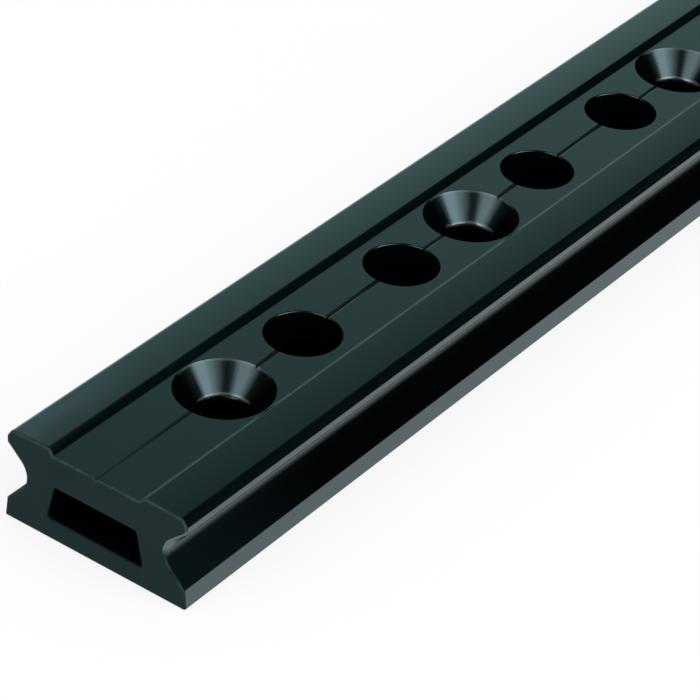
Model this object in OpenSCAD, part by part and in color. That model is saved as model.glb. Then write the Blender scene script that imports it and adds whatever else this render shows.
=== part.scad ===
// Sail track section: one black anodised aluminium extrusion for a ball-bearing car.
// Millimetres. The origin is the middle of the underside, the length runs along Y and +Z is up.

/* [Stock] */
// Length of the stock as it is sold
track_len = 996; // [146:50:2996]
// Height from the deck to the top edges of the two steps
track_h = 12.6; // [11.6:0.1:14.6]

/* [Foot] */
// How far each side of the foot stands out beyond the nose above it
foot_spread = 0.25; // [-0.25:0.05:1.15]
// How far each side face of the foot leans inwards at its top
foot_lean = 0.4; // [0:0.05:0.6]
// Radius of the edges of the foot
foot_edge_r = 0.25; // [0.1:0.05:0.4]

/* [Head] */
// Width across the two noses of the head
head_w = 26.1; // [24.6:0.1:27.1]
// Width of the bevel between the crown and each nose
nose_bevel_w = 0.6; // [0.3:0.05:1.5]
// Height of the bevel between the crown and each nose
nose_bevel_h = 1; // [0.4:0.05:1.2]
// Radius of the upper edge of each nose
nose_top_r = 0.2; // [0.1:0.05:0.3]
// Radius of the lower edge of each nose, where the race starts
nose_lip_r = 0.4; // [0.1:0.05:0.6]

/* [Crown] */
// Width of the sunk middle of the crown, between the feet of its two steps
sunk_w = 12.4; // [12.4:0.1:14]
// Depth of the sunk middle below the outer bands
sunk_depth = 0.8; // [0.3:0.05:1.2]
// Width of the slope of each step
step_run = 0.9; // [0.4:0.05:2]
// Fall of each outer band, from its step to the bevel
band_fall = 0.2; // [0:0.05:0.4]
// Radius of the edges of the outer bands
band_edge_r = 0.4; // [0.1:0.05:0.5]
// Width of the V-shaped centre line
scribe_w = 0.5; // [0.2:0.05:1]
// Depth of the V-shaped centre line
scribe_depth = 0.3; // [0.1:0.05:0.5]

/* [Ball races] */
// Radius of the hollow that the balls run in
race_r = 2.8; // [2.2:0.05:3.2]
// Height of the centre of the races above the deck
race_z = 6.7; // [6.3:0.05:7.1]
// Width of the web left between the two races
waist_w = 20.3; // [19:0.1:22]
// Angle that the round part of a race covers above and below its centre
race_reach = 52; // [49:1:58]
// Angle of the flank that leads out of a race to the foot, from the horizontal
flank_angle = 45; // [43:1:50]
// Angle of the flank that leads out of a race to the nose, from the horizontal
nose_flank_angle = 42; // [42:1:50]

/* [Chamber] */
// Width of the chamber at its roof
chamber_roof_w = 12; // [10:0.1:13]
// Width of the chamber at its floor
chamber_floor_w = 14.2; // [11:0.1:15]
// Height of the chamber
chamber_h = 4.8; // [3.5:0.1:5.2]
// Thickness of the floor below the chamber
floor_t = 2.75; // [2:0.05:3.2]
// Radius in the corners of the chamber
chamber_r = 0.5; // [0.2:0.05:1]

/* [Fastener holes] */
// Distance from one fastener to the next
fastener_pitch = 50; // [40:1:100]
// Least distance from an end of the stock to a fastener
end_margin = 15; // [10:1:20]
// Diameter of the clearance hole for an M6 fastener
fastener_d = 6.4; // [5:0.1:7]
// Diameter of the countersink at the crown
sink_d = 12.2; // [10:0.1:13]
// Full angle of the countersink
sink_angle = 82; // [80:1:100]

/* [Stop holes] */
// Diameter of the holes that a stop's plunger drops into
stop_d = 9.3; // [6:0.1:10]
// Distance from a fastener to the stop hole on each side of it
stop_offset = 15; // [13:0.5:18]
// Width of the broken edge round a stop hole
stop_bevel = 0.2; // [0.1:0.05:0.5]

/* [Hidden] */
$fn = 96;
// Overlap that carries a cut clear of the face it starts from
past = 1;

crown_z = track_h - sunk_depth;
chamber_roof_z = floor_t + chamber_h;
race_x = waist_w / 2 + race_r;
foot_w = head_w + 2 * foot_spread;
band_z = track_h - band_fall;
// The fasteners are centred on the stock, so both ends have the same margin
bay_count = floor((track_len - 2 * end_margin) / fastener_pitch);
first_fastener_y = -bay_count * fastener_pitch / 2;
sink_depth = (sink_d - fastener_d) / 2 / tan(sink_angle / 2);

// Unit vector at an angle in degrees
function heading(angle) = [cos(angle), sin(angle)];

// Unit vector from one point to another
function towards(a, b) = (b - a) / norm(b - a);

// Point where the line through p along u meets the line through q along v
function meet(p, u, q, v) = p + u * cross(q - p, v) / cross(u, v);

// Corners of the right half of the section, from the deck upwards
foot_corner = [foot_w / 2, 0];
foot_top = [foot_w / 2 - foot_lean, race_z - race_r];
nose_top = [head_w / 2, band_z - nose_bevel_h];
band_edge = [head_w / 2 - nose_bevel_w, band_z];
step_top = [sunk_w / 2 + step_run, track_h];
step_foot = [sunk_w / 2, crown_z];

// Where a flank's line starts, inside the circle, which it leaves at the angle race_reach
function flank_start(angle) = race_r * cos(race_reach + angle - 90) * heading(90 + angle);

upper_flank = [race_x, race_z] + flank_start(nose_flank_angle);
lower_flank = [race_x + flank_start(flank_angle)[0], race_z - flank_start(flank_angle)[1]];
// Where the flanks run out, at the nose and at the side of the foot
nose_lip = meet(upper_flank, heading(nose_flank_angle), nose_top, [0, 1]);
foot_lip = meet(lower_flank, heading(-flank_angle), foot_corner, towards(foot_corner, foot_top));

// Right half of the outline: each corner and its radius, 0 where it stays sharp
function right_half() = [
    [foot_corner, foot_edge_r],
    [foot_lip, foot_edge_r],
    [lower_flank, 0],
    [upper_flank, 0],
    [nose_lip, nose_lip_r],
    [nose_top, nose_top_r],
    [band_edge, band_edge_r],
    [step_top, band_edge_r],
    [step_foot, 0],
    [[scribe_w / 2, crown_z], 0],
    [[0, crown_z - scribe_depth], 0],
];

// A corner carried over to the left half
function mirrored(corner) = [[-corner[0][0], corner[0][1]], corner[1]];

// The left half in the order that closes the outline, without the point on the centre line
function left_half() = [for (i = [len(right_half()) - 2:-1:0]) mirrored(right_half()[i])];

// Centre of a round corner of radius r at b, between the points a and c
function corner_centre(a, b, c, r) =
    let (into = towards(b, a) + towards(b, c))
    b + into * r / abs(cross(towards(b, a), into));

// Foot of the perpendicular from p on the line through a and b
function foot_on(p, a, b) = a + towards(a, b) * ((p - a) * towards(a, b));

// Polygon whose corners, each a point and a radius, are rounded by true arcs
module rounded(corners) {
    n = len(corners);
    before = [for (i = [0:n - 1]) corners[(i + n - 1) % n][0]];
    at = [for (i = [0:n - 1]) corners[i][0]];
    after = [for (i = [0:n - 1]) corners[(i + 1) % n][0]];
    radii = [for (i = [0:n - 1]) corners[i][1]];
    centres = [for (i = [0:n - 1]) corner_centre(before[i], at[i], after[i], radii[i])];
    polygon([
        for (i = [0:n - 1])
            for (end = radii[i] == 0 ? [at[i]] : [before[i], after[i]])
                radii[i] == 0 ? at[i] : foot_on(centres[i], at[i], end)
    ]);
    for (i = [0:n - 1])
        if (radii[i] > 0)
            translate(centres[i])
                circle(r = radii[i]);
}

// Outline of the foot, web and head, with straight lines across the hollows of the races
module outline() {
    rounded(concat(right_half(), left_half()));
}

// Round hollow that the balls run in
module race() {
    translate([race_x, race_z])
        circle(r = race_r);
}

// Closed hollow under the crown, wider at its floor
module chamber() {
    rounded([
        [[-chamber_floor_w / 2, floor_t], chamber_r],
        [[chamber_floor_w / 2, floor_t], chamber_r],
        [[chamber_roof_w / 2, chamber_roof_z], chamber_r],
        [[-chamber_roof_w / 2, chamber_roof_z], chamber_r],
    ]);
}

// The cross-section that the die gives the metal
module section() {
    difference() {
        outline();
        for (side = [0, 1])
            mirror([side, 0])
                race();
        chamber();
    }
}

// Countersunk hole through the crown and the floor
module fastener_hole() {
    translate([0, 0, -past])
        cylinder(d = fastener_d, h = crown_z + 2 * past);
    translate([0, 0, crown_z - sink_depth])
        cylinder(d1 = fastener_d, d2 = sink_d, h = sink_depth);
    translate([0, 0, crown_z])
        cylinder(d = sink_d, h = past);
}

// Plain hole through the crown into the chamber, with a broken edge
module stop_hole() {
    translate([0, 0, chamber_roof_z - past])
        cylinder(d = stop_d, h = crown_z - chamber_roof_z + 2 * past);
    translate([0, 0, crown_z - stop_bevel])
        cylinder(d1 = stop_d, d2 = stop_d + 2 * stop_bevel, h = stop_bevel);
    translate([0, 0, crown_z])
        cylinder(d = stop_d + 2 * stop_bevel, h = past);
}

// Black anodised extrusion, drilled along its centre line
module track() {
    color([0.12, 0.15, 0.15])
        difference() {
            translate([0, track_len / 2, 0])
                rotate([90, 0, 0])
                    linear_extrude(height = track_len)
                        section();
            for (i = [0:bay_count])
                translate([0, first_fastener_y + i * fastener_pitch, 0])
                    fastener_hole();
            for (i = [0:bay_count - 1])
                for (along = [stop_offset, fastener_pitch - stop_offset])
                    translate([0, first_fastener_y + i * fastener_pitch + along, 0])
                        stop_hole();
        }
}

track();
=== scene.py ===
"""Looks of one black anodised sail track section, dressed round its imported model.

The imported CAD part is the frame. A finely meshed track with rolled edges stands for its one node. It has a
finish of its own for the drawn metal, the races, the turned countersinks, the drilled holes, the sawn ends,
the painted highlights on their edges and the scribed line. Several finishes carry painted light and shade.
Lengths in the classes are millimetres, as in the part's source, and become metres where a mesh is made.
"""

import logging
import math
from dataclasses import dataclass, field, replace
from enum import Enum, IntEnum
from typing import Any, Iterable, Sequence

import bpy
from mathutils import Matrix, Quaternion, Vector
from mathutils.geometry import delaunay_2d_cdt


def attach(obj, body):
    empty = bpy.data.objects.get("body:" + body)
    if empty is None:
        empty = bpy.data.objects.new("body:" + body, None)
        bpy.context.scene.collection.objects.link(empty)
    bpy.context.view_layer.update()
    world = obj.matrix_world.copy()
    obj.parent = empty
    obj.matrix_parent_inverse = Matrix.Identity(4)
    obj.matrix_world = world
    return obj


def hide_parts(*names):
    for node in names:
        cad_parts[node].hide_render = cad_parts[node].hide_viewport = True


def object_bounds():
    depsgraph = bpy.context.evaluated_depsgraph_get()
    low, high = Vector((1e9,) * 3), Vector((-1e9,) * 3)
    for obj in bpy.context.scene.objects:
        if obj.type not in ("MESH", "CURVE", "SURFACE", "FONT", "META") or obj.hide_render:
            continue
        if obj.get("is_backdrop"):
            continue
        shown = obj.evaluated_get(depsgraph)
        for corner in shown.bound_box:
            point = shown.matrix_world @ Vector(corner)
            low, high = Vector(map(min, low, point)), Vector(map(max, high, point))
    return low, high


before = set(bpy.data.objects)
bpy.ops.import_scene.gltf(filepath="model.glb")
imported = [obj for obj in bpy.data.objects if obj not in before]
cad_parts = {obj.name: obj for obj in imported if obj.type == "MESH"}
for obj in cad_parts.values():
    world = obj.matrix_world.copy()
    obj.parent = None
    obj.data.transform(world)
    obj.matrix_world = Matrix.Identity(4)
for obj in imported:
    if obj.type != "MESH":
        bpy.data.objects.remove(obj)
cad_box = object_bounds()

LOG = logging.getLogger("sail_track")
METRE = 0.001
MERGE_STEPS = 1e4
INSIDE_SHARE = 0.999
HAIR = 1e-6
Colour = tuple[float, float, float]
Span = tuple[float, float]


class Surface(IntEnum):
    """How a face of the track was made, which is also the number of its material slot."""

    DRAWN = 0
    RACE = 1
    TURNED = 2
    DRILLED = 3
    SAWN = 4
    EDGE = 5
    SCRIBED = 6


class End(Enum):
    """The two sawn ends of the stock, by the direction that each one faces."""

    NEAR = -1
    FAR = 1


def meet(point: Vector, along: Vector, other: Vector, other_along: Vector) -> Vector:
    """Finds where two lines of the section meet.

    Args:
        point: A point on the first line.
        along: The direction of the first line.
        other: A point on the second line.
        other_along: The direction of the second line.

    Returns:
        The point that lies on both lines.
    """
    gap = other - point
    share = gap.cross(other_along) / along.cross(other_along)
    return point + along * share


def heading(degrees: float) -> Vector:
    """Returns the unit vector at an angle from the horizontal."""
    return Vector((math.cos(math.radians(degrees)), math.sin(math.radians(degrees))))


@dataclass(frozen=True)
class Corner:
    """One corner of the section, with the radius of its round, the steps along it, and how its metal is made.

    Where two corners in a row have a bow, the stretch between them swells by the smaller one.
    """

    at: Vector
    radius: float = 0.0
    steps: int = 5
    surface: Surface = Surface.DRAWN
    bow: float = 0.0


@dataclass(frozen=True)
class Stretch:
    """One straight piece of the section's outline, with the metal's outward normal at both of its ends."""

    start: Vector
    end: Vector
    start_normal: Vector
    end_normal: Vector
    rolled: float = 0.0
    surface: Surface = Surface.DRAWN

    def level(self) -> bool:
        """Tells whether the stretch is a level face of the metal."""
        return abs(self.start_normal.x) < HAIR and abs(self.end_normal.x) < HAIR and not self.rolled


class Outline:
    """A closed outline with the metal on its left, made from corners and their radii."""

    def __init__(self, corners: Sequence[Corner]) -> None:
        """Rounds every corner with a true arc and joins the arcs by straight stretches.

        Args:
            corners: The corners in order, with the metal on the left of the way from each to the next.
        """
        self.stretches: list[Stretch] = []
        count = len(corners)
        rounds = [self._round(corners[i - 1], corners[i], corners[(i + 1) % count]) for i in range(count)]
        for i, (points, normals) in enumerate(rounds):
            here, after = corners[i], corners[(i + 1) % count]
            self._chain(points, normals, 1.0, here.surface)
            bow, surface = min(here.bow, after.bow), max(here.surface, after.surface)
            self._chain(*self._bowed(points[-1], rounds[(i + 1) % count][0][0], bow), 0.0, surface)

    def _chain(self, points: Sequence[Vector], normals: Sequence[Vector], rolled: float,
               surface: Surface) -> None:
        """Notes the stretches between points in a row.

        Args:
            points: The points.
            normals: The outward normal at each point.
            rolled: How far the stretches belong to an edge, from 0 to 1.
            surface: How their metal is made.
        """
        for k in range(len(points) - 1):
            ends = (points[k], points[k + 1], normals[k], normals[k + 1])
            self.stretches.append(Stretch(*ends, rolled, surface))

    def _bowed(self, start: Vector, end: Vector, bow: float,
               steps: int = 8) -> tuple[list[Vector], list[Vector]]:
        """Joins two points by a line that may swell outwards a little.

        Args:
            start: Where it starts.
            end: Where it ends.
            bow: How far its middle stands out.
            steps: The number of stretches in a swelling line.

        Returns:
            The points along it and the outward normal at each.
        """
        normal = self._outward(end - start)
        if not bow:
            return [start, end], [normal, normal]
        points, normals = [], []
        for k in range(steps + 1):
            share = k / steps
            points.append(start.lerp(end, share) + normal * 4 * bow * share * (1 - share))
            slope = 4 * bow * (1 - 2 * share) / (end - start).length
            normals.append((normal - (end - start).normalized() * slope).normalized())
        return points, normals

    @staticmethod
    def _outward(along: Vector) -> Vector:
        """Returns the unit normal on the right of a direction, which points away from the metal."""
        return Vector((along.y, -along.x)).normalized()

    def _round(self, before: Corner, here: Corner, after: Corner) -> tuple[list[Vector], list[Vector]]:
        """Rounds one corner.

        Args:
            before: The corner before it.
            here: The corner to round.
            after: The corner after it.

        Returns:
            The points along the round and the outward normal at each. A sharp corner gives its own point.
        """
        into, out = (here.at - before.at).normalized(), (after.at - here.at).normalized()
        if not here.radius:
            return [here.at], [self._outward(out)]
        turn = math.atan2(into.cross(out), into.dot(out))
        side = math.copysign(1.0, turn)
        setback = here.radius * math.tan(abs(turn) / 2)
        centre = here.at - into * setback - self._outward(into) * here.radius * side
        points, normals = [], []
        for k in range(here.steps + 1):
            normal = Vector(self._outward(into))
            normal.rotate(Matrix.Rotation(turn * k / here.steps, 2))
            normals.append(normal)
            points.append(centre + normal * here.radius * side)
        return points, normals

    def shrunk(self, depth: float) -> list[tuple[Vector, Vector]]:
        """Moves the outline into the metal, with mitred corners.

        Args:
            depth: How far every stretch moves.

        Returns:
            The start and end of each stretch, in the same order.
        """
        count = len(self.stretches)
        moved = []
        for i, stretch in enumerate(self.stretches):
            first, second = self.stretches[i - 1].end_normal, stretch.start_normal
            moved.append(stretch.start - (first + second) * depth / (1 + first.dot(second)))
        return [(moved[i], moved[(i + 1) % count]) for i in range(count)]


@dataclass(frozen=True)
class Section:
    """The cross-section that the die gives the metal, with the sizes of the part's source."""

    track_h: float = 12.6
    foot_w: float = 26.6
    foot_lean: float = 0.4
    foot_edge_r: float = 0.25
    head_w: float = 26.1
    nose_bevel_w: float = 0.6
    nose_bevel_h: float = 1.0
    nose_top_r: float = 0.2
    nose_lip_r: float = 0.4
    sunk_w: float = 12.4
    sunk_depth: float = 0.8
    step_run: float = 0.9
    band_fall: float = 0.2
    band_edge_r: float = 0.8
    step_edge_r: float = 0.15
    step_drop: float = 0.0045
    soft_step_r: float = 0.8
    soft_step_foot_r: float = 0.15
    soft_step_angle: float = 60.0
    band_bow: float = 0.03
    scribe_w: float = 0.5
    scribe_depth: float = 0.3
    race_r: float = 2.8
    race_z: float = 6.7
    waist_w: float = 20.3
    flank_angle: float = 45.0
    nose_flank_angle: float = 42.0
    race_steps: int = 18
    chamber_roof_w: float = 12.0
    chamber_floor_w: float = 14.2
    chamber_h: float = 4.8
    floor_t: float = 2.75
    chamber_r: float = 0.5

    @property
    def crown_z(self) -> float:
        """Height of the sunk middle of the crown."""
        return self.track_h - self.sunk_depth

    @property
    def roof_z(self) -> float:
        """Height of the chamber's roof."""
        return self.floor_t + self.chamber_h

    def crown_at(self, x: float) -> float:
        """Returns the height of the crown, with its scribed line, at a distance from the centre line."""
        share = min(1.0, abs(x) / (self.scribe_w / 2))
        return self.crown_z - self.scribe_depth * (1 - share)

    def outside(self) -> Outline:
        """Makes the outer outline, from the underside up the right side and down the left side."""
        race = Vector((self.waist_w / 2 + self.race_r, self.race_z))
        above = race + heading(90 + self.nose_flank_angle) * self.race_r
        below = race + heading(-90 - self.flank_angle) * self.race_r
        apex = meet(above, heading(self.nose_flank_angle), below, heading(-self.flank_angle))
        foot_corner = Vector((self.foot_w / 2, 0))
        side = Vector((-self.foot_lean, self.race_z - self.race_r))
        foot_lip = meet(apex, heading(-self.flank_angle), foot_corner, side)
        nose_x, up = self.head_w / 2, Vector((0, 1))
        nose_lip = meet(apex, heading(self.nose_flank_angle), Vector((nose_x, 0)), up)
        band_z = self.track_h - self.band_fall
        step_top = Vector((self.sunk_w / 2 + self.step_run, self.track_h - self.step_drop))
        right = [
            Corner(foot_corner, self.foot_edge_r),
            Corner(foot_lip, self.foot_edge_r, 4),
            Corner(apex, self.race_r, self.race_steps, Surface.RACE),
            Corner(nose_lip, self.nose_lip_r),
            Corner(Vector((nose_x, band_z - self.nose_bevel_h)), self.nose_top_r, 3),
            Corner(Vector((nose_x - self.nose_bevel_w, band_z)), self.band_edge_r, 6, bow=self.band_bow),
            Corner(step_top, self.step_edge_r, 6, bow=self.band_bow),
            Corner(Vector((self.sunk_w / 2, self.crown_z))),
            Corner(Vector((self.scribe_w / 2, self.crown_z))),
        ]
        left = [replace(c, at=Vector((-c.at.x, c.at.y))) for c in reversed(right)]
        left[1:3] = self._soft_step()
        return Outline([*right, Corner(Vector((0, self.crown_z - self.scribe_depth))), *left])

    def _soft_step(self) -> list[Corner]:
        """Makes the two corners of the left step, whose round and fillet the die has worn wide."""
        slope = math.radians(self.soft_step_angle)
        top_z = self.track_h - self.step_drop
        foot_x = -self.sunk_w / 2 - self.soft_step_foot_r * math.tan(slope / 2)
        top_x = foot_x - (top_z - self.crown_z) / math.tan(slope)
        foot = Corner(Vector((foot_x, self.crown_z)), self.soft_step_foot_r, 6)
        return [foot, Corner(Vector((top_x, top_z)), self.soft_step_r, 8, bow=self.band_bow)]

    def inside(self) -> Outline:
        """Makes the outline of the chamber, with the metal on its left as well."""
        roof, floor = self.chamber_roof_w / 2, self.chamber_floor_w / 2
        corners = [(-floor, self.floor_t), (-roof, self.roof_z), (roof, self.roof_z), (floor, self.floor_t)]
        return Outline([Corner(Vector(c), self.chamber_r) for c in corners])


@dataclass(frozen=True)
class Bore:
    """The wall of one kind of hole, as rings from where the tool came in to where it left."""

    rings: tuple[tuple[float, float, float, float], ...]
    surface: Surface
    scribed: bool = False

    @property
    def mouth_r(self) -> float:
        """Radius of the hole where it starts."""
        return self.rings[0][0]

    @property
    def exit_r(self) -> float:
        """Radius of the hole where it ends."""
        return self.rings[-1][0]


def rolled_edge(r: float, z: float, size: float, start: float, stop: float,
                steps: int = 4) -> list[tuple[float, ...]]:
    """Rings round a rolled edge of a hole.

    Args:
        r: Radius of the ring that the roll turns about.
        z: Height of that ring.
        size: Radius of the roll.
        start: Angle of the metal's normal where the roll starts, in degrees above straight inwards.
        stop: That angle where the roll stops.
        steps: Number of steps along the roll.

    Returns:
        Radius, height, and the radial and upward part of the normal, for each ring.
    """
    rings = []
    for k in range(steps + 1):
        angle = math.radians(start + (stop - start) * k / steps)
        inward, up = math.cos(angle), math.sin(angle)
        rings.append((r - size * inward, z + size * up, -inward, up))
    return rings


@dataclass(frozen=True)
class Drilling:
    """The holes down the centre line, with the sizes of the part's source."""

    section: Section
    track_len: float = 996.0
    fastener_pitch: float = 50.0
    end_margin: float = 15.0
    fastener_d: float = 6.4
    sink_d: float = 12.2
    sink_angle: float = 82.0
    stop_d: float = 9.3
    stop_offset: float = 15.0
    stop_bevel: float = 0.2
    burr: float = 0.1
    sink_edge: float = 0.08
    seat_edge: float = 0.9
    turns: int = 72
    notch_shares: tuple[float, ...] = (0.35, 0.55, 0.75, 1.0, 1.15)

    @property
    def fasteners(self) -> list[float]:
        """Places of the fastener holes along the track."""
        bays = math.floor((self.track_len - 2 * self.end_margin) / self.fastener_pitch)
        return [(k - bays / 2) * self.fastener_pitch for k in range(bays + 1)]

    @property
    def stops(self) -> list[float]:
        """Places of the stop holes along the track."""
        offsets = (self.stop_offset, self.fastener_pitch - self.stop_offset)
        return [y + offset for y in self.fasteners[:-1] for offset in offsets]

    def countersink(self) -> Bore:
        """Wall of a fastener hole from the crown to the chamber, with its cone."""
        top, roof = self.section.crown_z, self.section.roof_z
        r, cone = self.fastener_d / 2, self.sink_angle / 2
        lean = self.sink_edge * math.tan(math.radians((90 - cone) / 2))
        seat = self.seat_edge * math.tan(math.radians(cone / 2))
        seat_z = top - (self.sink_d / 2 - r) / math.tan(math.radians(cone))
        rings = [
            *rolled_edge(self.sink_d / 2 + lean, top - self.sink_edge, self.sink_edge, 90, cone, 3),
            *self._notch_rings(top),
            *rolled_edge(r + self.seat_edge, seat_z - seat, self.seat_edge, cone, 0, 4),
            *rolled_edge(r + self.burr, roof + self.burr, self.burr, 0, -90, 3),
        ]
        return Bore(tuple(rings), Surface.TURNED, True)

    def _notch_rings(self, top: float) -> list[tuple[float, ...]]:
        """Rings on the upper part of the cone, down to where the scribed line has run out into it."""
        depths = [self.section.scribe_depth * share for share in self.notch_shares]
        cone = math.radians(self.sink_angle / 2)
        inward, up = -math.cos(cone), math.sin(cone)
        return [(self.sink_d / 2 - depth * math.tan(cone), top - depth, inward, up) for depth in depths]

    def stop_hole(self) -> Bore:
        """Wall of a stop hole from the crown to the chamber."""
        top, roof, r = self.section.crown_z, self.section.roof_z, self.stop_d / 2
        rings = [
            *rolled_edge(r + self.stop_bevel, top - self.stop_bevel, self.stop_bevel, 90, 0, 5),
            *rolled_edge(r + self.burr, roof + self.burr, self.burr, 0, -90, 3),
        ]
        return Bore(tuple(rings), Surface.DRILLED, True)

    def floor_hole(self) -> Bore:
        """Wall of a fastener hole from the chamber to the underside."""
        r = self.fastener_d / 2 + self.burr
        rings = [
            *rolled_edge(r, self.section.floor_t - self.burr, self.burr, 90, 0, 3),
            *rolled_edge(r, self.burr, self.burr, 0, -90, 3),
        ]
        return Bore(tuple(rings), Surface.DRILLED)

    def angles(self, radius: float) -> list[float]:
        """Angles of the points round a hole, with extra ones where the scribed line runs into it.

        Args:
            radius: Radius of the hole there.

        Returns:
            The angles in rising order, in radians.
        """
        half = self.section.scribe_w / 2
        even = [math.tau * k / self.turns for k in range(self.turns)]
        extra = [math.acos(share * half / radius) for share in (-1, -0.5, 0.5, 1)]
        marked = even + extra + [math.tau - angle for angle in extra]
        near = min(abs(a - b) for a in extra for b in even)
        if near < 1e-4:
            raise ValueError("a point round the hole falls on the scribed line's edge")
        return sorted(marked)


class MeshBook:
    """Collects faces with a normal at each corner, and makes one mesh from them."""

    def __init__(self) -> None:
        """Starts an empty book."""
        self.points: list[Vector] = []
        self.index: dict[tuple[int, int, int], int] = {}
        self.faces: list[list[int]] = []
        self.normals: list[Vector] = []
        self.surfaces: list[int] = []
        self.rolled: list[float] = []

    def _number(self, point: Vector) -> int:
        """Returns the number of a point, and notes it if it is new."""
        key = tuple(round(value * MERGE_STEPS) for value in point)
        if key not in self.index:
            self.index[key] = len(self.points)
            self.points.append(point * METRE)
        return self.index[key]

    def face(self, corners: Sequence[Vector], normals: Sequence[Vector], surface: Surface,
             rolled: float = 0.0) -> None:
        """Notes one face, turned so that its front lies along the normals.

        Args:
            corners: Its corners in order round it, either way.
            normals: The metal's outward normal at each corner.
            surface: How this face was made.
            rolled: How far the face belongs to an edge of the metal, from 0 to 1.
        """
        numbers = [self._number(c) for c in corners]
        kept = [k for k, n in enumerate(numbers) if n != numbers[k - 1]]
        if len(kept) < 3:
            return
        area = Vector((0, 0, 0))
        for k in range(len(kept)):
            area += corners[kept[k - 1]].cross(corners[kept[k]])
        if area.dot(sum((normals[k] for k in kept), Vector((0, 0, 0)))) < 0:
            kept.reverse()
        self.faces.append([numbers[k] for k in kept])
        self.normals.extend(normals[k].normalized() for k in kept)
        self.surfaces.append(int(surface))
        self.rolled.extend([rolled] * len(kept))

    def mesh(self, name: str) -> bpy.types.Mesh:
        """Makes the mesh.

        Args:
            name: Name of the mesh.

        Returns:
            The mesh in metres, smooth shaded by its own normals.
        """
        mesh = bpy.data.meshes.new(name)
        mesh.from_pydata(self.points, [], self.faces)
        mesh.polygons.foreach_set("material_index", self.surfaces)
        mesh.polygons.foreach_set("use_smooth", [True] * len(self.faces))
        mesh.attributes.new("rolled", "FLOAT", "CORNER").data.foreach_set("value", self.rolled)
        mesh.update()
        mesh.normals_split_custom_set([tuple(n) for n in self.normals])
        mesh.validate()
        return mesh


@dataclass(frozen=True)
class Sheet:
    """A level face of the metal, pierced by round holes: the place and radius of each."""

    z: float
    half_w: float
    up: float
    holes: tuple[tuple[float, float], ...]
    scribed: bool = False


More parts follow.
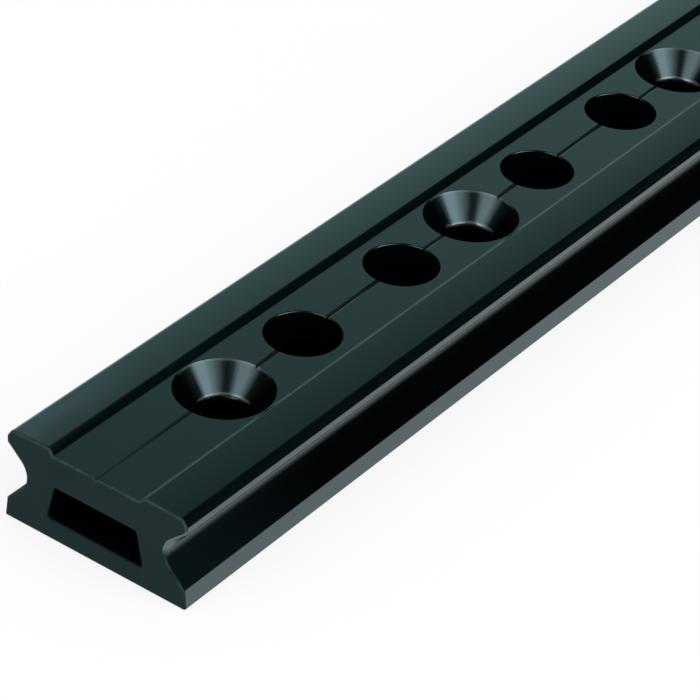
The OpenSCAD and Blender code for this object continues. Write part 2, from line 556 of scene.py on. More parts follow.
@dataclass
class TrackSection:
    """The extrusion: its section drawn along the length, drilled down the middle and sawn at both ends."""

    section: Section = field(default_factory=Section)
    bay: float = 25.0
    saw_edge: float = 0.3
    mouth_edge: float = 0.1
    saw_steps: int = 3
    book: MeshBook = field(default_factory=MeshBook)

    def __post_init__(self) -> None:
        """Works out the outlines, the drilling and the stations along the track."""
        self.drilling = Drilling(self.section)
        self.outlines = [self.section.outside(), self.section.inside()]
        self.reach = self.drilling.track_len / 2 - self.saw_edge
        count = round(2 * self.reach / self.bay)
        self.stations = [-self.reach + 2 * self.reach * k / count for k in range(count + 1)]

    def build(self) -> bpy.types.Object:
        """Makes the whole extrusion as one mesh.

        Returns:
            The new object, linked to the scene.
        """
        for outline in self.outlines:
            self._draw(outline)
        for sheet in self._sheets():
            self._pierce(sheet)
        self._bore_all(self.drilling.fasteners, self.drilling.countersink())
        self._bore_all(self.drilling.fasteners, self.drilling.floor_hole())
        self._bore_all(self.drilling.stops, self.drilling.stop_hole())
        for end in End:
            self._saw(end)
        track = bpy.data.objects.new("track_section", self.book.mesh("track_section"))
        bpy.context.scene.collection.objects.link(track)
        return track

    def _sheets(self) -> Iterable[Sheet]:
        """Lists the four level faces that holes go through."""
        drilling, section = self.drilling, self.section
        upper = [(y, drilling.countersink()) for y in drilling.fasteners]
        upper += [(y, drilling.stop_hole()) for y in drilling.stops]
        lower = [(y, drilling.floor_hole()) for y in drilling.fasteners]
        crown, floor = (tuple((y, bore.mouth_r) for y, bore in row) for row in (upper, lower))
        roof, under = (tuple((y, bore.exit_r) for y, bore in row) for row in (upper, lower))
        yield Sheet(section.crown_z, section.sunk_w / 2, 1, crown, True)
        yield Sheet(section.roof_z, self._level_half(section.roof_z), -1, roof)
        yield Sheet(section.floor_t, self._level_half(section.floor_t), 1, floor)
        yield Sheet(0.0, self._level_half(0.0), -1, under)

    def _level_half(self, z: float) -> float:
        """Returns half the width of the level stretch at a height."""
        ends = [s.end.x for o in self.outlines for s in o.stretches if s.level() and abs(s.end.y - z) < HAIR]
        return max(abs(x) for x in ends)

    def _pierced(self, stretch: Stretch) -> bool:
        """Tells whether a stretch of the section belongs to one of the pierced sheets."""
        on_scribe = max(abs(stretch.start.x), abs(stretch.end.x)) <= self.section.scribe_w / 2 + HAIR
        return stretch.level() or on_scribe

    def _draw(self, outline: Outline) -> None:
        """Draws every unpierced stretch of an outline along the track."""
        for stretch in outline.stretches:
            if self._pierced(stretch):
                continue
            (x0, z0), (x1, z1) = stretch.start, stretch.end
            first = Vector((stretch.start_normal.x, 0, stretch.start_normal.y))
            last = Vector((stretch.end_normal.x, 0, stretch.end_normal.y))
            for y0, y1 in zip(self.stations, self.stations[1:]):
                corners = [Vector(c) for c in ((x0, y0, z0), (x1, y0, z1), (x1, y1, z1), (x0, y1, z0))]
                self.book.face(corners, [first, last, last, first], stretch.surface, stretch.rolled)

    def _height(self, sheet: Sheet, x: float) -> float:
        """Returns the height of a sheet at a distance from the centre line."""
        return self.section.crown_at(x) if sheet.scribed else sheet.z

    def _pierce(self, sheet: Sheet) -> None:
        """Triangulates a level face round its holes.

        Args:
            sheet: The face to fill.
        """
        points: list[tuple[float, float]] = []
        edges: list[tuple[int, int]] = []

        def run(way: Sequence[tuple[float, float]], closed: bool) -> None:
            """Notes a line of points whose edges the triangles keep."""
            base, count = len(points), len(way)
            points.extend(way)
            edges.extend((base + k, base + (k + 1) % count) for k in range(count if closed else count - 1))

        half, low, high = sheet.half_w, self.stations[0], self.stations[-1]
        across = [side * self.section.scribe_w / 2 for side in (-1, 0, 1)] if sheet.scribed else []
        run([(half, y) for y in self.stations], False)
        run([(-half, y) for y in self.stations], False)
        for y in (low, high):
            run([(-half, y), *[(x, y) for x in across], (half, y)], False)
        rims = {}
        for y, radius in sheet.holes:
            angles = self.drilling.angles(radius)
            rims[y] = [(radius * math.cos(a), y + radius * math.sin(a)) for a in angles]
            run(rims[y], True)
        for x in across:
            ends = [low]
            for y in sorted(rims):
                near = sorted((p for p in rims[y] if abs(p[0] - x) < HAIR), key=lambda p: p[1])
                ends += [near[0][1], near[-1][1]]
            ends.append(high)
            for a, b in zip(ends[::2], ends[1::2]):
                run([(x, a), (x, b)], False)
        flat = [Vector(p) for p in points]
        found, _, triangles, *_ = delaunay_2d_cdt(flat, edges, [], 0, 1e-5)
        for triangle in triangles:
            corners = [Vector((found[k].x, found[k].y, self._height(sheet, found[k].x))) for k in triangle]
            middle = sum(corners, Vector((0, 0, 0))) / 3
            if any(math.hypot(middle.x, middle.y - y) < radius * INSIDE_SHARE for y, radius in sheet.holes):
                continue
            normal, surface = Vector((0, 0, sheet.up)), Surface.DRAWN
            if sheet.scribed and abs(middle.x) < self.section.scribe_w / 2:
                lean = -math.copysign(self.section.scribe_depth, middle.x)
                normal = Vector((lean, 0, self.section.scribe_w / 2))
                surface = Surface.SCRIBED
            self.book.face(corners, [normal] * 3, surface)

    def _bore_all(self, places: Iterable[float], bore: Bore) -> None:
        """Makes the wall of one kind of hole at each of its places.

        Args:
            places: Where the holes lie along the track.
            bore: The rings of their wall.
        """
        angles = self.drilling.angles(bore.mouth_r)
        for y in places:
            rows = []
            for r, z, inward, up in bore.rings:
                row = []
                for angle in angles:
                    across, along = math.cos(angle), math.sin(angle)
                    top = self.section.crown_at(r * across) if bore.scribed else z
                    point = Vector((r * across, y + r * along, min(z, top)))
                    row.append((point, Vector((inward * across, inward * along, up)), z > top + HAIR))
                rows.append(row)
            for upper, lower in zip(rows, rows[1:]):
                for k in range(len(angles)):
                    ring = [upper[k - 1], upper[k], lower[k], lower[k - 1]]
                    self._wall_face(ring, bore.surface)

    def _wall_face(self, ring: Sequence[tuple[Vector, Vector, bool]], surface: Surface) -> None:
        """Notes one face of a hole's wall, which lies in the scribed line where its corners were cut down."""
        corners, normals = [c[0] for c in ring], [c[1] for c in ring]
        if any(c[2] for c in ring):
            flat = (corners[2] - corners[0]).cross(corners[3] - corners[1])
            if flat.length < 1e-9:
                return
            inward = sum(normals, Vector((0, 0, 0)))
            normals = [flat if flat.dot(inward) > 0 else -flat] * 4
        self.book.face(corners, normals, surface, 1.0)

    def _saw(self, end: End) -> None:
        """Closes one end: the broken edge round both outlines, then the sawn face.

        Args:
            end: The end to close.
        """
        side = end.value
        facing = Vector((0, side, 0))
        kinds = zip(self.outlines, (self.saw_edge, self.mouth_edge), (Surface.EDGE, Surface.SAWN))
        for outline, edge, surface in kinds:
            turns = [math.pi / 2 * k / self.saw_steps for k in range(self.saw_steps + 1)]
            rows = [outline.shrunk(edge * (1 - math.cos(t))) for t in turns]
            for k in range(self.saw_steps):
                # Weight of the painted highlight on each step of the broken edge, most on the middle one.
                painted_highlight = math.sin(math.pi * (k + 0.5) / self.saw_steps)
                for stretch, near, far in zip(outline.stretches, rows[k], rows[k + 1]):
                    corners, normals = [], []
                    ways = ((near[0], k, 0), (near[1], k, 1), (far[1], k + 1, 1), (far[0], k + 1, 0))
                    for point, turn, last in ways:
                        flat = stretch.end_normal if last else stretch.start_normal
                        y = side * (self.reach + self.saw_edge * math.sin(turns[turn]))
                        corners.append(Vector((point.x, y, point.y)))
                        out = Vector((flat.x, 0, flat.y)) * math.cos(turns[turn])
                        normals.append(out + facing * math.sin(turns[turn]))
                    self.book.face(corners, normals, surface, painted_highlight)
        self._fill_end(side * self.drilling.track_len / 2, facing)

    def _fill_end(self, y: float, facing: Vector) -> None:
        """Fills the flat of a sawn end between the outer outline and the chamber.

        Args:
            y: Where the face lies along the track.
            facing: The way that it faces.
        """
        points: list[Vector] = []
        edges: list[tuple[int, int]] = []
        rims = zip(self.outlines, (self.saw_edge, self.mouth_edge))
        loops = [[pair[0] for pair in outline.shrunk(edge)] for outline, edge in rims]
        for loop in loops:
            base = len(points)
            points.extend(loop)
            edges.extend((base + k, base + (k + 1) % len(loop)) for k in range(len(loop)))
        found, _, triangles, *_ = delaunay_2d_cdt(points, edges, [], 0, HAIR)
        for triangle in triangles:
            corners = [found[k] for k in triangle]
            middle = (corners[0] + corners[1] + corners[2]) / 3
            if self._within(middle, loops[0]) and not self._within(middle, loops[1]):
                self.book.face([Vector((c.x, y, c.y)) for c in corners], [facing] * 3, Surface.SAWN)

    @staticmethod
    def _within(point: Vector, loop: Sequence[Vector]) -> bool:
        """Tells whether a point of the section lies inside a closed loop."""
        inside = False
        for k, here in enumerate(loop):
            last = loop[k - 1]
            if (here.y > point.y) != (last.y > point.y):
                crossing = (last.x - here.x) * (point.y - here.y) / (last.y - here.y) + here.x
                inside ^= point.x < crossing
        return inside


class Link:
    """One output of a shader node, with arithmetic that adds Math nodes."""

    def __init__(self, tree: "ShaderTree", socket: bpy.types.NodeSocket) -> None:
        """Wraps a socket.

        Args:
            tree: The tree that it belongs to.
            socket: The output socket.
        """
        self.tree = tree
        self.socket = socket

    def _math(self, operation: str, *others: "Link | float") -> "Link":
        """Adds a Math node on this value and others."""
        return self.tree.math(operation, self, *others)

    def __add__(self, other: "Link | float") -> "Link":
        """Adds."""
        return self._math("ADD", other)

    __radd__ = __add__

    def __mul__(self, other: "Link | float") -> "Link":
        """Multiplies."""
        return self._math("MULTIPLY", other)

    __rmul__ = __mul__

    def __sub__(self, other: "Link | float") -> "Link":
        """Subtracts."""
        return self._math("SUBTRACT", other)

    def __rsub__(self, other: float) -> "Link":
        """Subtracts this value from a number."""
        return self.tree.math("SUBTRACT", other, self)

    def __truediv__(self, other: "Link | float") -> "Link":
        """Divides."""
        return self._math("DIVIDE", other)

    def most(self, other: "Link | float") -> "Link":
        """Returns the larger of this value and another."""
        return self._math("MAXIMUM", other)

    def least(self, other: "Link | float") -> "Link":
        """Returns the smaller of this value and another."""
        return self._math("MINIMUM", other)

    def size(self) -> "Link":
        """Returns this value without its sign."""
        return self._math("ABSOLUTE")

    def root(self) -> "Link":
        """Returns the square root of this value."""
        return self._math("SQRT")

    def wrap(self, top: float, bottom: float) -> "Link":
        """Wraps this value into a range."""
        return self._math("WRAP", top, bottom)

    def smooth(self, low: float, high: float) -> "Link":
        """Returns 0 below one value and 1 above another, with a smooth ramp between them."""
        settings = {"interpolation_type": "SMOOTHSTEP"}
        inputs = {"Value": self, "From Min": low, "From Max": high}
        return self.tree.add("ShaderNodeMapRange", settings, inputs)

    def within(self, low: float, low_full: float, high_full: float, high: float) -> "Link":
        """Returns 1 inside a range and 0 outside it, with a smooth ramp at each side."""
        return self.smooth(low, low_full) * (1 - self.smooth(high_full, high))


class ShaderTree:
    """A material's or the world's node tree."""

    def __init__(self, owner: bpy.types.ID) -> None:
        """Clears the tree of a material or world.

        Args:
            owner: The material or world.
        """
        owner.use_nodes = True
        self.tree = owner.node_tree
        self.tree.nodes.clear()

    def add(self, kind: str, settings: dict[str, Any] | None = None, inputs: dict[Any, Any] | None = None,
            output: int | str = 0) -> Link:
        """Adds a node.

        Args:
            kind: The node's type.
            settings: Its own settings, set first.
            inputs: Values or links of its sockets, by name or number. A colour may leave out its opacity.
            output: The output to return.

        Returns:
            The chosen output.
        """
        node = self.tree.nodes.new(kind)
        for name, value in (settings or {}).items():
            setattr(node, name, value)
        for name, value in (inputs or {}).items():
            socket = node.inputs[name]
            if isinstance(value, Link):
                self.tree.links.new(value.socket, socket)
            else:
                socket.default_value = (*value, 1.0) if socket.type == "RGBA" else value
        return Link(self, node.outputs[output] if node.outputs else None)

    def math(self, operation: str, *values: Link | float) -> Link:
        """Adds a Math node on values in order."""
        return self.add("ShaderNodeMath", {"operation": operation}, dict(enumerate(values)))

    def blend(self, share: Link | float, first: Link | Colour, second: Link | Colour) -> Link:
        """Mixes two colours.

        Args:
            share: How much of the second colour shows.
            first: A colour or a link.
            second: A colour or a link.

        Returns:
            The mixed colour.
        """
        return self.add("ShaderNodeMix", {"data_type": "RGBA"}, {0: share, 6: first, 7: second}, 2)

    def place(self) -> tuple[Link, Link, Link]:
        """Returns the place on the object along X, Y and Z, in millimetres."""
        where = self.add("ShaderNodeTexCoord", output="Object")
        scaled = self.add("ShaderNodeVectorMath", {"operation": "SCALE"}, {0: where, "Scale": 1 / METRE})
        parts = [self.add("ShaderNodeSeparateXYZ", None, {0: scaled}, k) for k in range(3)]
        return parts[0], parts[1], parts[2]

    def noise(self, x: Link | float, y: Link | float, z: Link | float, detail: float = 2.0,
              rough: float = 0.5) -> Link:
        """Adds noise on three coordinates, one period to a unit.

        Args:
            x: First coordinate.
            y: Second coordinate.
            z: Third coordinate.
            detail: Octaves of the noise.
            rough: How strong the finer octaves are.

        Returns:
            A value round 0.5.
        """
        at = self.add("ShaderNodeCombineXYZ", None, {0: x, 1: y, 2: z})
        inputs = {"Vector": at, "Scale": 1.0, "Detail": detail, "Roughness": rough}
        return self.add("ShaderNodeTexNoise", None, inputs)


@dataclass(frozen=True)
class Finish:
    """A black anodised finish. Its own marks are added by the kinds below."""

    name: str
    shade: Colour = (0.0004, 0.0009, 0.0012)
    bright: Colour = (0.0004, 0.0030, 0.0034)
    tint: Colour = (0.62, 0.93, 1.0)
    roughness: float = 0.13
    gloss_spread: float = 0.25
    edge_polish: float = 0.03
    ior: float = 1.85
    specular: float = 0.5
    bump_mm: float = 0.002
    end: float = 498.0

    def pattern(self, tree: ShaderTree) -> tuple[Link, Link, Link]:
        """Returns the shade, gloss and height patterns, each round 0.5."""
        x, y, z = tree.place()
        line = tree.noise(x * 4.0, y * 0.008, z * 4.0, 3.0, 0.6)
        cloud = tree.noise(x * 0.12, y * 0.06, z * 0.12, 2.0)
        grain = tree.noise(x * 12.0, y * 12.0, z * 12.0, 2.0)
        return line * 0.4 + cloud * 0.6, line * 0.6 + cloud * 0.2 + grain * 0.2, line * 0.6 + grain * 0.4

    def colour(self, tree: ShaderTree, shade: Link) -> Link:
        """Returns the base colour at a shade from 0 to 1."""
        return tree.blend(shade, self.shade, self.bright)

    def near_end(self, y: Link, start: float, full: float) -> Link:
        """Returns how near a place is to a sawn end: 0 one distance from it, and 1 at another."""
        return y.size().smooth(self.end - start, self.end - full)

    @staticmethod
    def rolled(tree: ShaderTree) -> Link:
        """Returns how far a place belongs to an edge of the metal."""
        return tree.add("ShaderNodeAttribute", {"attribute_name": "rolled"}, output="Fac")

    def bump(self, tree: ShaderTree, height: Link) -> Link:
        """Returns the normal that a height pattern gives."""
        inputs = {"Strength": 1.0, "Distance": self.bump_mm * METRE, "Height": height}
        return tree.add("ShaderNodeBump", None, inputs)

    def glossy(self, tree: ShaderTree, colour: Link, rough: Link, height: Link,
               metallic: Link | float = 0.0) -> Link:
        """Adds a glossy shader with the tinted shine of the anodised film.

        Args:
            tree: The material's tree.
            colour: Its base colour.
            rough: Its roughness, which is kept within a range.
            height: Its height pattern.
            metallic: How far it is bare metal.

        Returns:
            The shader.
        """
        inputs = {"Base Color": colour, "Metallic": metallic, "Roughness": rough.most(0.08).least(0.9),
                  "IOR": self.ior, "Specular IOR Level": self.specular, "Specular Tint": self.tint,
                  "Normal": self.bump(tree, height)}
        return tree.add("ShaderNodeBsdfPrincipled", None, inputs)

    def matt(self, tree: ShaderTree, colour: Link | Colour, roughness: float, specular: float,
             height: Link | None = None) -> Link:
        """Adds a dull shader.

        Args:
            tree: The material's tree.
            colour: Its base colour.
            roughness: Its roughness.
            specular: Its specular level.
            height: Its height pattern, if it has one.

        Returns:
            The shader.
        """
        inputs = {"Base Color": colour, "Roughness": roughness, "IOR": self.ior,
                  "Specular IOR Level": specular}
        if height:
            inputs["Normal"] = self.bump(tree, height)
        return tree.add("ShaderNodeBsdfPrincipled", None, inputs)

    def shader(self, tree: ShaderTree) -> Link:
        """Returns the metal's own shader."""
        shade, gloss, height = self.pattern(tree)
        rolled = self.rolled(tree)
        colour = self.colour(tree, shade.smooth(0.3, 0.7) * 0.8 + rolled * 0.2)
        rough = (gloss - 0.5) * self.gloss_spread + self.roughness - rolled * self.edge_polish
        return self.glossy(tree, colour, rough, height)

    def dress(self) -> bpy.types.Material:
        """Makes the material.

        Returns:
            The new material.
        """
        material = bpy.data.materials.new(self.name)
        tree = ShaderTree(material)
        tree.add("ShaderNodeOutputMaterial", None, {"Surface": self.shader(tree)})
        return material


@dataclass(frozen=True)
class DrawnFinish(Finish):
    """Anodised metal as drawn, with a painted sheen on the left band near both ends."""

    painted_sheen: Colour = (0.022, 0.034, 0.041)
    sheen_run: float = 28.0
    sheen_x: Span = (5.0, 13.5)
    sheen_z: Span = (12.2, 12.5)

    def colour(self, tree: ShaderTree, shade: Link) -> Link:
        """Returns the base colour with its painted sheen."""
        x, y, z = tree.place()
        patch = tree.noise(x * 0.25, y * 0.12, z * 0.25, 3.0).smooth(0.3, 0.7) * 0.5 + 0.5
        # Painted sheen: the top of the left band is lighter near both ends.
        share = self.near_end(y, self.sheen_run, 0.0) * (0 - x).smooth(*self.sheen_x) * z.smooth(*self.sheen_z)
        return tree.blend(share * patch, Finish.colour(self, tree, shade), self.painted_sheen)


@dataclass(frozen=True)
class RaceFinish(Finish):
    """Anodised metal whose lower running face is a dull black as painted shade, with painted light near the
    ends.
    """

    painted_race_shade: Colour = (0.0002, 0.0007, 0.0009)
    painted_end_sheen: Colour = (0.002, 0.006, 0.0075)
    end_sheen_run: float = 30.0
    race_shade_z: Span = (5.75, 7.0)
    race_shade_roughness: float = 0.6
    race_shade_specular: float = 0.005
    painted_crescent_light: Colour = (0.13, 0.17, 0.165)
    crescent_run: Span = (4.5, 1.0)
    crescent_z: tuple[float, float, float, float] = (6.4, 7.0, 9.0, 10.0)

    def shader(self, tree: ShaderTree) -> Link:
        """Returns the metal's own shader with the painted shade over it, from just above the waist downwards.
        """
        metal = Finish.shader(self, tree)
        x, y, z = tree.place()
        wander = tree.noise(x * 0.3, y * 0.12, z * 0.3) * 0.1
        # Painted shade: below this height the race is a dull black.
        unshaded = (z + wander).smooth(*self.race_shade_z)
        # A painted crescent of light on the race close to each end.
        painted_highlight = self.near_end(y, *self.crescent_run) * z.within(*self.crescent_z)
        # The painted shade turns paler near the ends, as a painted sheen.
        colour = tree.blend(self.near_end(y, self.end_sheen_run, 0.0), self.painted_race_shade, self.painted_end_sheen)
        painted_race_shade = self.matt(tree, tree.blend(painted_highlight, colour, self.painted_crescent_light), self.race_shade_roughness, self.race_shade_specular)
        return tree.add("ShaderNodeMixShader", None, {0: unshaded * (1 - painted_highlight), 1: painted_race_shade, 2: metal})


@dataclass(frozen=True)
class TurnedFinish(Finish):
    """The turned wall of a hole, with painted highlight rings at its rim and seat, and a dull black as
    painted shade below them and where seen edge on.
    """

    roughness: float = 0.22
    pitch: float = 50.0
    painted_highlight: Colour = (0.28, 0.34, 0.35)
    seat_z: float = 8.2
    seat_band: Span = (0.25, 0.7)
    rim_z: float = 11.8
    rim_band: Span = (-0.3, -0.05)
    rim_sheen: float = 0.25
    wander_mm: float = 0.3
    wall_fade: float = 0.15
    edge_on: Span = (0.2, 0.4)
    wall_roughness: float = 0.6
    wall_specular: float = 0.01

    def pattern(self, tree: ShaderTree) -> tuple[Link, Link, Link]:
        """Returns patterns of fine streaks that run down the cone."""
        x, y, z = tree.place()
        local = (y + self.pitch / 2).wrap(self.pitch / 2, -self.pitch / 2)
        radius = (x * x + local * local).root()
        streak = tree.noise(x / radius * 14.0, local / radius * 14.0, z * 0.15, 3.0, 0.6)
        grain = tree.noise(x * 9.0, y * 9.0, z * 9.0, 2.0)
        return streak, streak * 0.8 + grain * 0.2, streak * 0.7 + grain * 0.3

    def shader(self, tree: ShaderTree) -> Link:
        """Returns the turned metal, with its two painted highlight rings, over a matt black that stands in
        for shade.
        """
        _, gloss, height = self.pattern(tree)
        x, y, z = tree.place()
        wander = (tree.noise(x * 0.9, y * 0.9, 0.0) - 0.5) * self.wander_mm
        # Painted highlight: a brighter, metallic ring at the seat and a fainter one at the rim.
        seat = 1 - (z + wander).smooth(*(self.seat_z + level for level in self.seat_band))
        rim = (z + wander).smooth(*(self.rim_z + level for level in self.rim_band)) * self.rim_sheen
        painted_highlight = seat.most(rim)
        rough = (gloss - 0.5) * self.gloss_spread + self.roughness
        metal = self.glossy(tree, tree.blend(painted_highlight, self.shade, self.painted_highlight), rough, height, painted_highlight)
        # Below the seat and where seen edge on, a dull black stands in for shade on the wall.
        wall = self.matt(tree, self.shade, self.wall_roughness, self.wall_specular)
        edge_on = tree.add("ShaderNodeLayerWeight", None, {"Blend": 0.5}, "Facing").smooth(*self.edge_on)
        below = 1 - z.smooth(self.seat_z - self.wall_fade, self.seat_z)
        return tree.add("ShaderNodeMixShader", None, {0: edge_on.most(below), 1: metal, 2: wall})


@dataclass(frozen=True)
class EdgeHighlightFinish(Finish):
    """A broken edge with a lighter, patchy matt grey as a painted highlight, strongest round the upper half
    of the race.
    """

    roughness: float = 0.6
    specular: float = 0.05
    bump_mm: float = 0.01
    painted_edge_sheen: Colour = (0.006, 0.02, 0.021)
    painted_top_edge_sheen: Colour = (0.03, 0.066, 0.068)
    painted_crescent_light: Colour = (0.13, 0.18, 0.175)
    top_edge_sheen_z: Span = (9.0, 11.0)
    crescent_z: tuple[float, float, float, float] = (6.2, 7.2, 10.4, 11.4)
    crescent_share: float = 0.8

    def shader(self, tree: ShaderTree) -> Link:
        """Returns a matt, patchy grey that follows the edge."""
        x, y, z = tree.place()
        patch = tree.noise(x * 0.5, y * 0.5, z * 0.5, 3.0, 0.6).smooth(0.35, 0.65)
        # Painted highlight along the edge, lighter towards the top edges.
        colour = tree.blend(patch * 0.5 + z.smooth(*self.top_edge_sheen_z) * 0.5, self.painted_edge_sheen, self.painted_top_edge_sheen)
        race = z.within(*self.crescent_z)
        # Painted crescent of light round the upper half of the race.
        colour = tree.blend(race * self.crescent_share, colour, self.painted_crescent_light)
        colour = tree.blend(self.rolled(tree).most(race), self.shade, colour)
        grain = tree.noise(x * 9.0, y * 9.0, z * 9.0, 2.0)
        return self.matt(tree, colour, self.roughness, self.specular, grain)


@dataclass(frozen=True)
class ScribedFinish(Finish):
    """The scribed line, dull as painted shade in its groove and paler with a painted highlight near the ends.
    """

    roughness: float = 0.5
    specular: float = 0.1
    painted_groove_shade: Colour = (0.001, 0.0035, 0.004)
    pale: Colour = (0.008, 0.026, 0.026)
    pale_run: Span = (16.0, 4.0)

    def shader(self, tree: ShaderTree) -> Link:
        """Returns a dull shader that varies along the line."""
        x, y, z = tree.place()
        patch = tree.noise(x, y * 0.2, z, 3.0, 0.6).smooth(0.4, 0.7) * 0.35
        # A dull tone as painted shade in the groove, lighter with a painted highlight near the ends.
        colour = tree.blend(self.near_end(y, *self.pale_run).most(patch), self.painted_groove_shade, self.pale)
        return self.matt(tree, colour, self.roughness, self.specular)


@dataclass(frozen=True)
class SawnFinish(Finish):
    """Anodised metal with the fine arcs that a saw blade leaves."""

    shade: Colour = (0.003, 0.0135, 0.0145)
    bright: Colour = (0.005, 0.017, 0.018)
    roughness: float = 0.6
    specular: float = 0.06
    bump_mm: float = 0.006
    blade_r: float = 150.0
    blade_x: float = -40.0
    tooth: float = 0.32

    def pattern(self, tree: ShaderTree) -> tuple[Link, Link, Link]:
        """Returns patterns of shallow arcs across the sawn face."""
        x, y, z = tree.place()
        across, up = x - self.blade_x, z + self.blade_r
        radius = (across * across + up * up).root()
        score = tree.noise(radius / self.tooth, 0.0, y * 0.05, 2.0, 0.6)
        grain = tree.noise(x * 7.0, y * 7.0, z * 7.0, 3.0, 0.7)
        cloud = tree.noise(x * 0.22, y * 0.22, z * 0.22, 2.0)
        return cloud * 0.7 + grain * 0.3, score * 0.5 + grain * 0.5, score * 0.4 + grain * 0.6


@dataclass(frozen=True)
class SoftBox:
    """A soft studio lamp, aimed at a point of the track."""

    name: str
    azimuth: float
    elevation: float
    distance: float
    width: float
    height: float
    radiance: float
    aim: tuple[float, float, float] = (0.0, -0.38, 0.006)

    def build(self) -> bpy.types.Object:
        """Makes the lamp.

        Returns:
            The new lamp object. Azimuth 0 puts it towards -Y, and 90 towards +X.
        """
        lamp = bpy.data.lights.new(self.name, "AREA")
        lamp.shape = "RECTANGLE"
        lamp.size, lamp.size_y = self.width, self.height
        lamp.energy = self.radiance * math.pi * self.width * self.height
        turn, rise = math.radians(self.azimuth), math.radians(self.elevation)
        away = Vector((math.sin(turn) * math.cos(rise), -math.cos(turn) * math.cos(rise), math.sin(rise)))
        holder = bpy.data.objects.new(self.name, lamp)
        holder.location = Vector(self.aim) + away * self.distance
        holder.rotation_mode = "QUATERNION"
        holder.rotation_quaternion = away.to_track_quat("Z", "Y")
        holder.visible_camera = False
        bpy.context.scene.collection.objects.link(holder)
        return holder


@dataclass(frozen=True)
class Studio:
    """The floor, the backdrop and the lamps."""

    half_floor: float = 40.0
    floor_drop: float = 0.00005
    floor_colour: Colour = (0.95, 0.95, 0.95)
    floor_glow: float = 0.8
    fill: float = 0.65
    band_low: float = 0.0
    band_high: float = 0.04
    dark: float = 0.014
    sweep: float = 0.87
    sweep_base: float = 0.155
    sweep_low: float = 0.21
    sweep_high: float = 0.72
    sweep_azimuth: float = -125.0
    sweep_cut: float = -190.0
    sweep_sector: Span = (0.6, 1.0)
    sweep_cut_sector: Span = (0.1, 0.45)
    sweep_colour: Colour = (0.68, 1.0, 0.95)
    white: Colour = (1.0, 1.0, 1.0)
    lamps: tuple[SoftBox, ...] = (
        SoftBox("right_softbox", 82, 38, 1.7, 1.6, 1.4, 0.8),
        SoftBox("right_middle", 90, 38, 1.67, 1.2, 1.3, 0.9),
        SoftBox("right_core", 98, 38, 1.65, 0.75, 1.2, 1.2),
        SoftBox("front_softbox", -18, 38, 1.7, 1.3, 1.4, 0.75),
        SoftBox("front_middle", -15, 38, 1.67, 0.95, 1.3, 0.6),
        SoftBox("front_core", -14, 38, 1.65, 0.6, 1.2, 0.7),
    )

    @staticmethod
    def _rays(tree: ShaderTree, kind: str) -> Link:
        """Returns 1 for rays of one kind."""
        return tree.add("ShaderNodeLightPath", output=f"Is {kind} Ray")

    def _seen(self, tree: ShaderTree) -> Link:
        """Returns 1 for rays that show the background: camera, glossy and transmission rays."""
        camera, glossy, through = (self._rays(tree, kind) for kind in ("Camera", "Glossy", "Transmission"))
        return camera.most(glossy).most(through)

    def floor(self) -> bpy.types.Object:
        """Makes the white floor, which keeps the track's shadow."""
        half, z = self.half_floor, -self.floor_drop
        mesh = bpy.data.meshes.new("floor")
        corners = [(-half, -half, z), (half, -half, z), (half, half, z), (-half, half, z)]
        mesh.from_pydata(corners, [], [(0, 1, 2, 3)])
        material = bpy.data.materials.new("white_floor")
        tree = ShaderTree(material)
        lit = tree.add("ShaderNodeBsdfDiffuse", None, {"Color": self.floor_colour})
        glow = tree.add("ShaderNodeEmission", None, {"Color": self.white, "Strength": 1.0})
        share = self._seen(tree) * self.floor_glow
        surface = tree.add("ShaderNodeMixShader", None, {0: share, 1: lit, 2: glow})
        tree.add("ShaderNodeOutputMaterial", None, {"Surface": surface})
        mesh.materials.append(material)
        floor = bpy.data.objects.new("floor", mesh)
        bpy.context.scene.collection.objects.link(floor)
        floor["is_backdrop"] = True
        return floor

    @staticmethod
    def _towards(tree: ShaderTree, way: Link, azimuth: float) -> Link:
        """Returns how far a direction points to an azimuth, with 0 towards -Y and 90 towards +X."""
        turn = math.radians(azimuth)
        target = (math.sin(turn), -math.cos(turn), 0.0)
        return tree.add("ShaderNodeVectorMath", {"operation": "DOT_PRODUCT"}, {0: way, 1: target}, "Value")

    def backdrop(self) -> None:
        """Sets the world: a white band at the horizon, a pale sweep behind the track, and a soft fill."""
        world = bpy.data.worlds.new("studio")
        bpy.context.scene.world = world
        tree = ShaderTree(world)
        way = tree.add("ShaderNodeTexCoord", output="Generated")
        height = tree.add("ShaderNodeSeparateXYZ", None, {0: way}, 2)
        level = (1 - height * height).root().most(0.01)
        sector = (self._towards(tree, way, self.sweep_azimuth) / level).smooth(*self.sweep_sector)
        sector = sector * (self._towards(tree, way, self.sweep_cut) / level).smooth(*self.sweep_cut_sector)
        fall = 1 - height.smooth(self.sweep_low, self.sweep_high)
        sweep = sector * (fall * self.sweep + self.sweep_base) + self.dark
        band = (1 - height.smooth(self.band_low, self.band_high)).most(self._rays(tree, "Camera"))
        colour = tree.blend(band, self.sweep_colour, self.white)
        strength = (sweep + band).least(1.0)
        shown = tree.add("ShaderNodeBackground", None, {"Color": colour, "Strength": strength})
        fill = tree.add("ShaderNodeBackground", None, {"Color": self.white, "Strength": self.fill})
        surface = tree.add("ShaderNodeMixShader", None, {0: self._seen(tree), 1: fill, 2: shown})
        tree.add("ShaderNodeOutputWorld", None, {"Surface": surface})

    def build(self) -> None:
        """Makes the floor, the backdrop and every lamp."""
        self.floor()
        self.backdrop()
        for lamp in self.lamps:
            lamp.build()


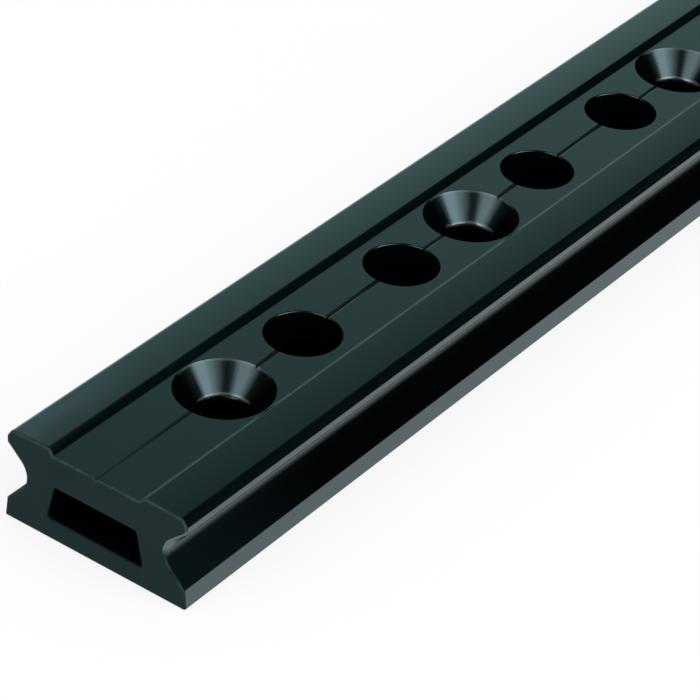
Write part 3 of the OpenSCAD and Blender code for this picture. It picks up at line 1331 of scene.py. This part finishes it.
@dataclass(frozen=True)
class PhotoCamera:
    """The camera at the photograph's angle: above the right front corner of the near end."""

    place: tuple[float, float, float] = (0.181404, -0.716966, 0.228523)
    aim: tuple[float, float, float] = (0.006249, -0.458997, 0.0118)
    roll: float = 4.384
    lens: float = 165.29
    sensor: float = 36.0

    def build(self) -> bpy.types.Object:
        """Makes the camera and hands the scene to it.

        Returns:
            The new camera object.
        """
        data = bpy.data.cameras.new("photo_camera")
        data.lens, data.sensor_width = self.lens, self.sensor
        data.clip_start, data.clip_end = 0.01, 100.0
        camera = bpy.data.objects.new("photo_camera", data)
        camera.location = self.place
        camera.rotation_mode = "QUATERNION"
        look = (Vector(self.aim) - Vector(self.place)).to_track_quat("-Z", "Y")
        camera.rotation_quaternion = look @ Quaternion((0, 0, 1), math.radians(self.roll))
        bpy.context.scene.collection.objects.link(camera)
        bpy.context.scene.camera = camera
        return camera


def write_sizes() -> None:
    """Makes the CAD model's box and the visual model's box into plain lists, which are not kept."""
    boxes = {"cad": cad_box, "visual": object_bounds()}
    {name: [list(corner) for corner in box] for name, box in boxes.items()}


def main() -> None:
    """Builds the camera, the track and the studio, in that order."""
    logging.basicConfig(level=logging.INFO, format="%(name)s: %(message)s")
    bpy.context.scene.view_settings.view_transform = "Standard"
    PhotoCamera().build()
    track = TrackSection().build()
    finishes: dict[Surface, Finish] = {
        Surface.DRAWN: DrawnFinish("drawn_black"),
        Surface.RACE: RaceFinish("race_black"),
        Surface.TURNED: TurnedFinish("turned_black"),
        Surface.DRILLED: TurnedFinish("drilled_black", painted_highlight=(0.07, 0.09, 0.095), seat_z=11.6),
        Surface.SAWN: SawnFinish("sawn_black"),
        Surface.EDGE: EdgeHighlightFinish("painted_edge_highlight"),
        Surface.SCRIBED: ScribedFinish("scribed_black"),
    }
    for surface in Surface:
        track.data.materials.append(finishes[surface].dress())
    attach(track, "root")
    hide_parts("track")
    LOG.info("%s: %d faces", track.name, len(track.data.polygons))
    Studio().build()
    LOG.info("studio: floor, backdrop and lamps")
    write_sizes()


if __name__ == "__main__":
    main()
